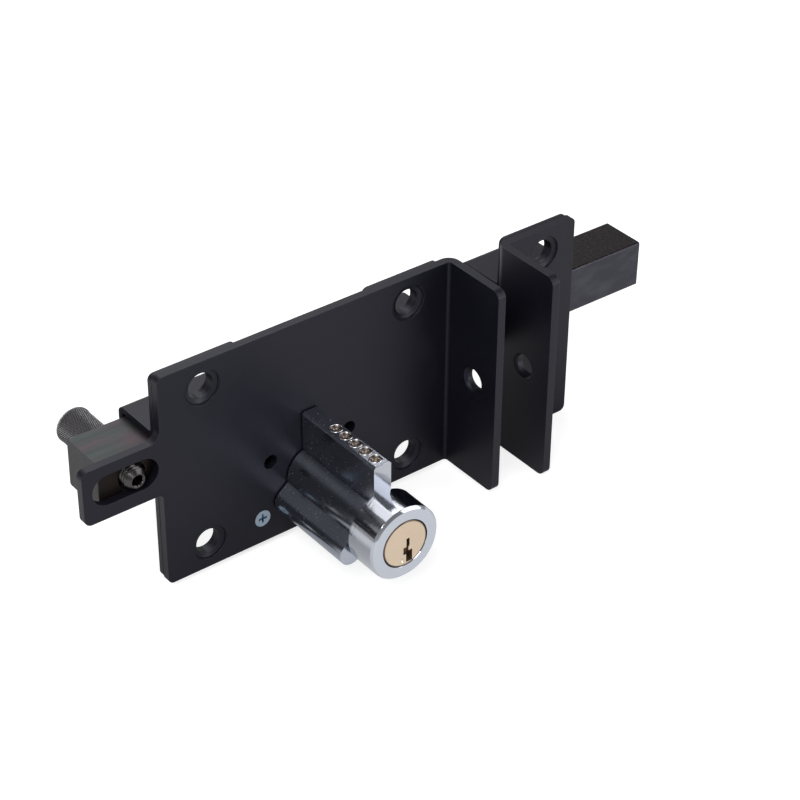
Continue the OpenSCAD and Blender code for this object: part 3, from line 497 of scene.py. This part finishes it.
def make_powder_coat():
    """Satin black with a bluish tinge, specks, and glossier edges, paler from a thin coat and a painted
    highlight.
    """
    finish, tree, shader = new_finish("powder_black", Specular_IOR_Level=0.25,
                                      Specular_Tint=(0.85, 0.87, 1, 1))
    peel = place_group(tree, orange_peel, Bump_Scale=1500.0)
    edge_mask = place_group(tree, broken_edge_mask, Width=0.35 * MM, Breakup=0.6)["Mask"]
    coat = mix_colour(tree, peel["Clouds"], coat_dark, coat_light)
    coat = mix_colour(tree, peel["Specks"], coat, coat_speck)
    # Painted edge highlight, on a coat that is thinner at the edges.
    coat = mix_colour(tree, edge_mask, coat, thin_edge_and_highlight, share=0.6)
    join(tree, coat, shader.inputs["Base Color"])
    roughness = between(tree, peel["Clouds"], 0.38, 0.44)
    smoother_edge = -0.14
    join(tree, maths(tree, "MULTIPLY_ADD", edge_mask, smoother_edge, roughness), shader.inputs["Roughness"])
    under = add_bump(tree, shader, peel["Height"], depth=0.02 * MM)
    add_bump(tree, shader, press_groove(tree), depth=groove_depth, under=under)
    return finish


powder_black = make_powder_coat()
print("powder coat:", len(powder_black.node_tree.nodes), "nodes")

# %% [markdown]
# ## The bolt's blackened steel
#
# The bolt is drawn bar steel with an oxide film. On top of the near end the film is thin enough to shimmer
# green and red. Behind the tab a painted shade keeps it dark, and the far end is blued in front and brown on
# top. One steel for all of it would be simpler, but these changes are what the eye meets first, so masks by
# place and by direction lay one tone over the other.

# %% Blackened bolt steel
steel_dark, steel_light = (0.019, 0.018, 0.019), (0.039, 0.036, 0.037)
film_green, film_red = (0.052, 0.066, 0.065), (0.080, 0.058, 0.068)
painted_tab_shade = (0.012, 0.008, 0.007)
blued_dark, blued_light = (0.045, 0.046, 0.060), (0.068, 0.068, 0.086)
brown_dark, brown_light = (0.014, 0.011, 0.013), (0.042, 0.031, 0.030)
bright_edge = (0.13, 0.125, 0.135)
film_starts_x, film_full_x = -40 * MM, -62 * MM
tab_shade_starts_x, tab_shade_full_x = -80 * MM, -76 * MM
far_end_starts_x, far_end_full_x = 104 * MM, 112 * MM
bolt_front_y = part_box("bolt")[0][1]


def bolt_tone(tree, place, on_top, streaks):
    """The bolt's colour from its near end to its far end."""
    steel = mix_colour(tree, streaks, steel_dark, steel_light)
    clouds = remap(tree, noise(tree, per_metre=170.0, detail=3.0, stretch=(0.4, 1, 1)), 0.36, 0.64)
    film = mix_colour(tree, clouds, film_green, film_red)
    near_end = remap(tree, place["X"], film_starts_x, film_full_x)
    steel = mix_colour(tree, maths(tree, "MULTIPLY", near_end, on_top), steel, film, share=0.6)
    # Painted shade on the front face behind the tab.
    on_front = near_face(tree, place["Y"], bolt_front_y, near=0.4 * MM, far=0.6 * MM)
    behind_tab = maths(tree, "MULTIPLY", remap(tree, place["X"], tab_shade_starts_x, tab_shade_full_x), on_front)
    steel = mix_colour(tree, behind_tab, steel, painted_tab_shade, share=0.9)
    stains = remap(tree, noise(tree, per_metre=190.0, detail=4.0, stretch=(0.5, 1, 1)), 0.40, 0.62)
    specks = remap(tree, noise(tree, per_metre=900.0, detail=3.0), 0.50, 0.66)
    blued = mix_colour(tree, stains, blued_dark, blued_light)
    brown = mix_colour(tree, specks, brown_dark, brown_light)
    far_end = remap(tree, place["X"], far_end_starts_x, far_end_full_x)
    return mix_colour(tree, far_end, steel, mix_colour(tree, on_top, blued, brown), share=0.8)


def make_bolt_steel():
    """Oxide-blackened steel, drawn lengthwise, with bright worn edges."""
    finish, tree, shader = new_finish("bolt_steel", Metallic=0.8, Specular_IOR_Level=0.3)
    lines = place_group(tree, brushed_lines, Line_Scale=4200.0)
    edge_mask = place_group(tree, broken_edge_mask, Width=0.5 * MM, Breakup=0.7)["Mask"]
    facing = add_node(tree, "SeparateXYZ")
    join(tree, add_node(tree, "NewGeometry").outputs["True Normal"], facing.inputs[0])
    on_top = remap(tree, facing.outputs["Z"], 0.6, 0.8)
    steel = bolt_tone(tree, place_axes(tree), on_top, lines["Streaks"])
    steel = mix_colour(tree, edge_mask, steel, bright_edge, share=0.6)
    join(tree, steel, shader.inputs["Base Color"])
    join(tree, between(tree, lines["Streaks"], 0.36, 0.48), shader.inputs["Roughness"])
    add_bump(tree, shader, lines["Height"], depth=0.02 * MM)
    return finish


bolt_steel = make_bolt_steel()
print("bolt steel:", len(bolt_steel.node_tree.nodes), "nodes")

# %% [markdown]
# ## The cylinder's plating
#
# The cylinder is plated with nickel and polished. In front of the collar it is a clean mirror with fine
# marks around it and turned rings in its face. Behind the collar hands seldom wipe it, so it is duller, with
# dust, and its hollows get grime and a painted shade. Grime and shade could be drawn by hand, but ambient
# occlusion finds the hollows by itself. A painted shadow darkens its foot where it meets the plate. Dust
# isn't metal, so it takes the Metallic value down where it lies.

# %% Cylinder plating
collar_dark, collar_light = (0.46, 0.48, 0.53), (0.54, 0.56, 0.61)
barrel_dark, barrel_light = (0.40, 0.43, 0.50), (0.50, 0.53, 0.60)
turned_face = (0.565, 0.60, 0.665)
hollow_grime_and_shade = (0.06, 0.065, 0.075)
dust_grey = (0.5, 0.5, 0.52)
foot_shade = (0.01, 0.01, 0.013)
collar_length = 11.9 * MM
hollow_reach = 1.6 * MM
plug_low, plug_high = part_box("plug")
plug_axis_z = (plug_low[2] + plug_high[2]) / 2
face_y = plug_low[1]
collar_y = face_y + collar_length
plate_front_y = 0
tower_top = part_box("cylinder_body")[1][2]


def plating_tone(tree, place, clouds, face, behind, dust):
    """The plating's colour: collar, barrel, face, painted shade with grime in the hollows, dust, painted
    foot shadow.
    """
    collar = mix_colour(tree, clouds, collar_dark, collar_light)
    barrel = mix_colour(tree, clouds, barrel_dark, barrel_light)
    tone = mix_colour(tree, behind, collar, barrel)
    tone = mix_colour(tree, face, tone, turned_face)
    # Painted shade in the hollows that ambient occlusion finds, with grime.
    hollow = add_node(tree, "AmbientOcclusion", only_local=True, samples=6)
    hollow.inputs["Distance"].default_value = hollow_reach
    grime_and_shade = maths(tree, "MULTIPLY", remap(tree, hollow.outputs["AO"], 0.9, 0.5), behind)
    tone = mix_colour(tree, grime_and_shade, tone, hollow_grime_and_shade, share=0.75)
    tone = mix_colour(tree, dust, tone, dust_grey)
    # Painted shadow at the foot, where the cylinder meets the plate.
    foot = near_face(tree, place["Y"], plate_front_y, near=-0.3 * MM, far=-0.7 * MM)
    return mix_colour(tree, foot, tone, foot_shade)


def plating_bumps(tree, shader, place, face, behind):
    """Marks along the barrel and around the collar, a milled tower top, and turned rings in the face."""
    along = noise(tree, per_metre=5200.0, detail=2.0, stretch=(1, 0.008, 1))
    around = noise(tree, per_metre=1300.0, detail=3.0, stretch=(0.3, 1, 0.3))
    deeper = 10.0
    in_front = maths(tree, "SUBTRACT", 1.0, behind)
    marks = maths(tree, "MULTIPLY", in_front, maths(tree, "MULTIPLY", around, deeper))
    marks = maths(tree, "MULTIPLY_ADD", along, behind, marks)
    milled = near_face(tree, place["Z"], tower_top, near=-0.1 * MM, far=-0.3 * MM)
    rough_top = maths(tree, "MULTIPLY", noise(tree, per_metre=1500.0, detail=4.0, roughness=0.7), milled)
    rings = place_group(tree, turned_rings, Axis_Z=plug_axis_z, Pitch=0.3 * MM)
    under = add_bump(tree, shader, marks, depth=0.0025 * MM)
    under = add_bump(tree, shader, rough_top, depth=0.05 * MM, under=under)
    rings_in_face = maths(tree, "MULTIPLY", rings["Height"], face)
    add_bump(tree, shader, rings_in_face, depth=0.0012 * MM, under=under)


def make_cylinder_plating():
    """Polished nickel: bright in front of the collar's back edge, duller and dusty behind it."""
    finish, tree, shader = new_finish("cylinder_chrome")
    clouds = place_group(tree, orange_peel, Bump_Scale=700.0)["Clouds"]
    place = place_axes(tree)
    face = near_face(tree, place["Y"], face_y, near=0.1 * MM, far=0.4 * MM)
    behind = remap(tree, place["Y"], collar_y, collar_y + 0.5 * MM)
    dust = remap(tree, noise(tree, per_metre=1900.0, detail=2.0), 0.69, 0.78, to_high=0.6)
    dust = maths(tree, "MULTIPLY", dust, behind)
    tone = plating_tone(tree, place, clouds, face, behind, dust)
    join(tree, tone, shader.inputs["Base Color"])
    join(tree, between(tree, dust, 1.0, 0.2), shader.inputs["Metallic"])
    duller_behind, dull_dust = 0.08, 0.4
    roughness = between(tree, clouds, 0.09, 0.15)
    roughness = maths(tree, "MULTIPLY_ADD", behind, duller_behind, roughness)
    join(tree, maths(tree, "MULTIPLY_ADD", dust, dull_dust, roughness), shader.inputs["Roughness"])
    plating_bumps(tree, shader, place, face, behind)
    return finish


chrome = make_cylinder_plating()
print("cylinder plating:", len(chrome.node_tree.nodes), "nodes")

# %% [markdown]
# ## The plug's brass
#
# The plug is turned from pale brass, and a painted shade darkens the rim of its face, where it meets the
# collar. Its rings could be modelled, but they are a few thousandths of a millimetre deep, so they stay a
# bump. The ring group also gives the distance from the axis, and the painted shade follows from that.

# %% Plug brass
brass_dark, brass_light = (0.67, 0.53, 0.395), (0.74, 0.605, 0.47)
plug_rim_shade = (0.045, 0.032, 0.024)
plug_r = (plug_high[0] - plug_low[0]) / 2


def make_plug_brass():
    """Pale brass with fine turned rings around its axis, and a painted shade at the rim of the face."""
    finish, tree, shader = new_finish("plug_brass", Metallic=1.0)
    peel = place_group(tree, orange_peel, Bump_Scale=1800.0)
    rings = place_group(tree, turned_rings, Axis_Z=plug_axis_z, Pitch=0.22 * MM)
    rim = near_face(tree, rings["Radius"], plug_r, near=-0.2 * MM, far=-0.5 * MM)
    tone = mix_colour(tree, peel["Clouds"], brass_dark, brass_light)
    # Painted shade at the rim of the face, where the plug meets the collar.
    join(tree, mix_colour(tree, rim, tone, plug_rim_shade, share=0.85), shader.inputs["Base Color"])
    join(tree, between(tree, peel["Clouds"], 0.24, 0.34), shader.inputs["Roughness"])
    under = add_bump(tree, shader, peel["Height"], depth=0.005 * MM)
    add_bump(tree, shader, rings["Height"], depth=0.0015 * MM, under=under)
    return finish


brass = make_plug_brass()
print("plug brass:", len(brass.node_tree.nodes), "nodes")

# %% [markdown]
# ## Small metal pieces
#
# The screws are zinc plated with a blue tinge, the stud and the inner pieces are bare steel, the chamber
# caps are warm old nickel, and the burrs around them are bright where a punch has pushed the metal. They are
# too small to need recipes of their own: one recipe with two close tones, cloudy gloss and fine scratches
# serves them all, each with its own values.

# %% Small metals
def make_polished(name, dark, light, roughness, bumps_per_metre, depth):
    """A metal with two close tones, a gloss that varies by a fifth, and fine bumps."""
    finish, tree, shader = new_finish(name, Metallic=1.0)
    peel = place_group(tree, orange_peel, Bump_Scale=bumps_per_metre)
    join(tree, mix_colour(tree, peel["Clouds"], dark, light), shader.inputs["Base Color"])
    join(tree, between(tree, peel["Clouds"], roughness * 0.8, roughness * 1.2), shader.inputs["Roughness"])
    add_bump(tree, shader, peel["Height"], depth)
    return finish


zinc = make_polished("zinc_steel", (0.34, 0.45, 0.56), (0.47, 0.58, 0.68),
                     roughness=0.3, bumps_per_metre=2200.0, depth=0.006 * MM)
bare_steel = make_polished("bare_steel", (0.045, 0.042, 0.044), (0.095, 0.09, 0.09),
                           roughness=0.22, bumps_per_metre=1600.0, depth=0.008 * MM)
cap_nickel = make_polished("cap_nickel", (0.22, 0.175, 0.14), (0.34, 0.28, 0.235),
                           roughness=0.16, bumps_per_metre=1600.0, depth=0.006 * MM)
rim_nickel = make_polished("rim_nickel", (0.62, 0.62, 0.64), (0.80, 0.80, 0.82),
                           roughness=0.14, bumps_per_metre=900.0, depth=0.02 * MM)
spring_steel = make_polished("spring_steel", (0.46, 0.47, 0.50), (0.58, 0.59, 0.62),
                             roughness=0.22, bumps_per_metre=1500.0, depth=0.004 * MM)
print("small metals:", [finish.name for finish in (zinc, bare_steel, cap_nickel, rim_nickel, spring_steel)])

# %% Finishes on the CAD nodes
finish_of_slot = {"plate_black": powder_black, "bolt_steel": bolt_steel, "bare_steel": bare_steel,
                  "spring_steel": spring_steel, "cylinder_chrome": chrome, "plug_brass": brass,
                  "cap_nickel": cap_nickel, "zinc_steel": zinc}
for entry in frame["record"]["subparts"]:
    mesh = nodes[entry["node"]].data
    mesh.materials.clear()
    mesh.materials.append(finish_of_slot[entry["material_slot"]])

# %% [markdown]
# ## Rounded edges
#
# No real edge is sharp: paint and polishing round it, and the rounding catches the light. It could be cut in
# the CAD model, but there it would cost many faces and change no fit. The CAD meshes are loose triangles, so
# a Weld joins them first, a Decimate merges the triangles of each flat face, and a Bevel rounds what is
# left. Thick paint rounds the sheets most, and a screw's edges are nearly sharp.

# %% Edge rounding
weld_gap = 0.002 * MM
flat_angle = math.radians(0.5)
sharp_angle = math.radians(30)
cap_names = sorted(name for name in nodes if name.startswith("chamber_cap"))
roundings = [
    (0.45 * MM, 3, ("front_plate", "keeper_bracket")),
    (0.4 * MM, 3, ("bolt_housing", "keeper_housing")),
    (0.3 * MM, 2, ("lock_case", "bolt")),
    (0.2 * MM, 2, ("bolt_fork", "cam", "crank_pin", "fork_pins")),
    (0.15 * MM, 2, ("cylinder_body",)),
    (0.12 * MM, 2, cap_names),
    (0.08 * MM, 2, ("plug", "case_screws", "cylinder_screws", "cam_screw", "cam_washer", "plug_clip")),
]


def round_edges(piece, width, segments):
    """Rounds the sharp edges of a CAD node."""
    piece.modifiers.new("weld", "WELD").merge_threshold = weld_gap
    flat = piece.modifiers.new("flat_faces", "DECIMATE")
    flat.decimate_type = "DISSOLVE"
    flat.angle_limit = flat_angle
    rounding = piece.modifiers.new("rounding", "BEVEL")
    rounding.width = width
    rounding.segments = segments
    rounding.limit_method = "ANGLE"
    rounding.angle_limit = sharp_angle
    rounding.use_clamp_overlap = True
    piece.modifiers.new("even_shading", "WEIGHTED_NORMAL")


for width, segments, names in roundings:
    for name in names:
        round_edges(nodes[name], width, segments)
print("rounded:", sum(bool(node.modifiers) for node in nodes.values()), "nodes")

# %% [markdown]
# ## A lathe for the knob and its stud
#
# The knob and its stud are turned on a lathe, and so they are here. A profile of radius and Y is spun around
# a line along Y. A function then moves each point in or out, which cuts the knurl, the thread and the
# hexagon socket. Cutting them with many small boolean bodies would be slow and leave poor faces. The depth
# of each cut is kept as an attribute of the mesh, so that a material can find the valleys.

# %% Lathe
merge_gap = 0.001 * MM


def lathe(name, like, profile, steps, reshape):
    """Spins a profile of (radius, y) in mm about the middle line of a CAD node, and takes its place.

    How far each point was moved in, in mm, is kept in the attribute cut_depth."""
    low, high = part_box(like)
    middle = Vector(((low[0] + high[0]) / 2, 0, (low[2] + high[2]) / 2))
    blank = bmesh.new()
    row = [blank.verts.new((radius * MM, y * MM, 0)) for radius, y in profile]
    lines = [blank.edges.new(pair) for pair in zip(row, row[1:])]
    bmesh.ops.spin(blank, geom=row + lines, cent=(0, 0, 0), axis=(0, 1, 0), angle=math.tau, steps=steps,
                   use_merge=True)
    bmesh.ops.remove_doubles(blank, verts=blank.verts, dist=merge_gap)
    cut_depth = blank.verts.layers.float.new("cut_depth")
    for vert in blank.verts:
        radius = math.hypot(vert.co.x, vert.co.z)
        if radius > 10 * merge_gap:
            turn = math.atan2(vert.co.z, vert.co.x)
            new_radius = reshape(radius / MM, turn, vert.co.y / MM) * MM
            vert[cut_depth] = (radius - new_radius) / MM
            vert.co.x *= new_radius / radius
            vert.co.z *= new_radius / radius
    bmesh.ops.translate(blank, vec=middle, verts=blank.verts)
    bmesh.ops.recalc_face_normals(blank, faces=blank.faces)
    piece = add_object(name, mesh_from(blank, name))
    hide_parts(like)
    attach(piece, "bolt_slider")
    return piece


def steps_between(start, end, step):
    """Evenly spaced numbers from start to end, about a step apart."""
    count = max(1, round((end - start) / step))
    return [start + (end - start) * i / count for i in range(count + 1)]


def ridge(value):
    """A wave of pitch 1 that is 1 at the crests and 0 in the valleys."""
    return abs(2 * (value % 1) - 1)


# %% [markdown]
# ## Knob with a diamond knurl
#
# The knob is a short steel bar, knurled so that wet fingers can hold it. A bump could hint at the knurl, but
# the knob's outline shows the teeth, so they are real. Two waves that climb around the knob to the left and
# to the right leave diamonds where both are high. Hands rub the crests bright and dirt fills the valleys.

# %% Knob
knob_low, knob_high = [[v / MM for v in corner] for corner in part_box("knob")]
knob_r = (knob_high[0] - knob_low[0]) / 2
knob_bevel = 0.6
knurl_count = 51
knurl_depth = 0.34
knurl_fade = 0.5
knurl_pitch = math.tau * knob_r / knurl_count
rows_per_pitch = 6
centre_mark_r = 1.1
centre_mark_depth = 0.7
same_radius = 0.01


def knurled(radius, turn, y):
    """Diamond knurl between the knob's two bevels."""
    if radius < knob_r - same_radius:
        return radius
    inset = min(y - knob_low[1], knob_high[1] - y) - knob_bevel
    fade = min(1, max(0, inset / knurl_fade))
    around = turn / math.tau * knurl_count
    along = (y - knob_low[1]) / knurl_pitch
    crest = min(ridge(around + along), ridge(around - along))
    return radius - knurl_depth * fade * (1 - crest)


knurl_rows = steps_between(knob_low[1] + knob_bevel, knob_high[1] - knob_bevel, knurl_pitch / rows_per_pitch)
knob_profile = [(0, knob_low[1]), (knob_r - knob_bevel, knob_low[1])]
knob_profile += [(knob_r, y) for y in knurl_rows]
knob_profile += [(knob_r - knob_bevel, knob_high[1]), (centre_mark_r, knob_high[1]),
                 (0, knob_high[1] - centre_mark_depth)]
knob = lathe("knob_knurled", "knob", knob_profile, knurl_count * rows_per_pitch, knurled)
print("knob:", len(knob.data.polygons), "faces, knurl pitch", round(knurl_pitch, 2), "mm")

# %% Knurled steel
valley_steel, crest_steel = (0.016, 0.015, 0.015), (0.38, 0.37, 0.39)
knurl_grime = (0.05, 0.046, 0.048)


def make_knurl_steel():
    """Blackened steel with rubbed crests and dirt in the valleys of the cut."""
    finish, tree, shader = new_finish("knurl_steel", Metallic=0.8)
    peel = place_group(tree, orange_peel, Bump_Scale=1500.0)
    valley = add_node(tree, "Attribute", attribute_name="cut_depth", attribute_type="GEOMETRY")
    crest = remap(tree, valley.outputs["Fac"], knurl_depth * 0.75, knurl_depth * 0.1)
    steel = mix_colour(tree, crest, valley_steel, crest_steel)
    steel = mix_colour(tree, peel["Clouds"], steel, knurl_grime, share=0.3)
    join(tree, steel, shader.inputs["Base Color"])
    join(tree, between(tree, crest, 0.46, 0.34), shader.inputs["Roughness"])
    add_bump(tree, shader, peel["Height"], depth=0.01 * MM)
    return finish


knob.data.materials.append(make_knurl_steel())
print("knob's finish:", knob.data.materials[0].name)

# %% [markdown]
# ## Stud with its thread and hexagon socket
#
# A headless screw holds the knob to the bolt, and its end shows in the tab's slot. Plain rings would pass
# for a thread from afar, but the rings of a real one climb, so each point's depth follows its height plus
# its turn. The same pass stretches the socket's circle to a hexagon. The tip's cone cuts off the last turns.

# %% Stud
stud_low, stud_high = [[v / MM for v in corner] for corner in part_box("knob_stud")]
stud_r = (stud_high[0] - stud_low[0]) / 2
stud_tip = 1.35
stud_bevel = 0.5
thread_pitch = 1.25
thread_depth = 0.6
thread_crest = 0.8
thread_rows = 10
thread_start, thread_end = stud_low[1] + 0.1, stud_low[1] + 6.4
socket_half = 1.8
socket_depth = 4.0
socket_mouth = 0.3
socket_point = 0.5
mouth_r = socket_half / math.cos(math.pi / 6) + 0.1
stud_steps = 96


def stud_cut(radius, turn, y):
    """Hexagon inside, helix outside."""
    if radius < socket_half + same_radius:
        corner = (turn + math.pi / 6) % (math.pi / 3) - math.pi / 6
        return radius / math.cos(corner)
    if radius < mouth_r + same_radius or y > thread_end:
        return radius
    crest = min(1, ridge(y / thread_pitch + turn / math.tau) / thread_crest)
    tip_radius = stud_r - stud_tip + (y - stud_low[1])
    return min(tip_radius, stud_r - thread_depth * (1 - crest))


stud_profile = [(0, stud_low[1] + socket_depth + socket_point), (socket_half, stud_low[1] + socket_depth),
                (socket_half, stud_low[1] + socket_mouth), (mouth_r, stud_low[1]),
                (stud_r - stud_tip, stud_low[1])]
stud_profile += [(stud_r, y) for y in steps_between(thread_start, thread_end, thread_pitch / thread_rows)]
stud_profile += [(stud_r, stud_high[1] - stud_bevel), (stud_r - stud_bevel, stud_high[1]), (0, stud_high[1])]
stud = lathe("knob_stud_threaded", "knob_stud", stud_profile, stud_steps, stud_cut)
stud.data.materials.append(bare_steel)
print("stud:", len(stud.data.polygons), "faces, thread", thread_pitch, "mm")

# %% [markdown]
# ## Staked chamber rims
#
# The caps of the five pin chambers are held by the tower's own metal, which a punch has pushed over their
# edges. Each chamber therefore has a low bright burr around it, a little higher under each corner of the
# punch. A bright ring in the plating's colour would be simpler, but it would catch no light. One burr is
# spun and waved, and then copied to the other caps.

# %% Burrs around the chambers
burr_outer = 2.42
burr_crest = 2.14
burr_inner = 1.99
burr_height = 0.2
burr_root = 0.1
burr_wave = 0.28
burr_corners = 6
burr_steps = 60
burr_profile = [(burr_outer, -burr_root), (burr_crest + 0.1, burr_height * 0.8), (burr_crest, burr_height),
                (burr_crest - 0.08, burr_height * 0.85), (burr_inner, 0), (burr_inner, -burr_root)]

burrs = bmesh.new()
row = [burrs.verts.new((radius * MM, 0, height * MM)) for radius, height in burr_profile]
lines = [burrs.edges.new(pair) for pair in zip(row, row[1:] + row[:1])]
bmesh.ops.spin(burrs, geom=row + lines, cent=(0, 0, 0), axis=(0, 0, 1), angle=math.tau, steps=burr_steps,
               use_merge=True)
bmesh.ops.remove_doubles(burrs, verts=burrs.verts, dist=merge_gap)
for vert in burrs.verts:
    if vert.co.z > 0:
        turn = math.atan2(vert.co.y, vert.co.x)
        vert.co.z *= 1 - burr_wave + burr_wave * math.cos(burr_corners * turn)
for face in burrs.faces:
    face.smooth = True
bmesh.ops.recalc_face_normals(burrs, faces=burrs.faces)
print("one burr:", len(burrs.faces), "faces")


# %% A burr on each chamber
def move_points(shape, parts, place):
    """Moves the points among some parts of a bmesh to a place."""
    points = [part for part in parts if isinstance(part, bmesh.types.BMVert)]
    bmesh.ops.translate(shape, vec=place, verts=points)


first_ring = [*burrs.verts, *burrs.edges, *burrs.faces]
cap_boxes = [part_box(name) for name in cap_names]
places = [Vector(((low[0] + high[0]) / 2, (low[1] + high[1]) / 2, tower_top)) for low, high in cap_boxes]
for place in places[1:]:
    move_points(burrs, bmesh.ops.duplicate(burrs, geom=first_ring)["geom"], place)
move_points(burrs, first_ring, places[0])
chamber_burrs = add_object("chamber_burrs", mesh_from(burrs, "chamber_burrs"))
chamber_burrs.data.materials.append(rim_nickel)
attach(chamber_burrs, "lock")
print("burrs:", len(chamber_burrs.data.polygons), "faces")
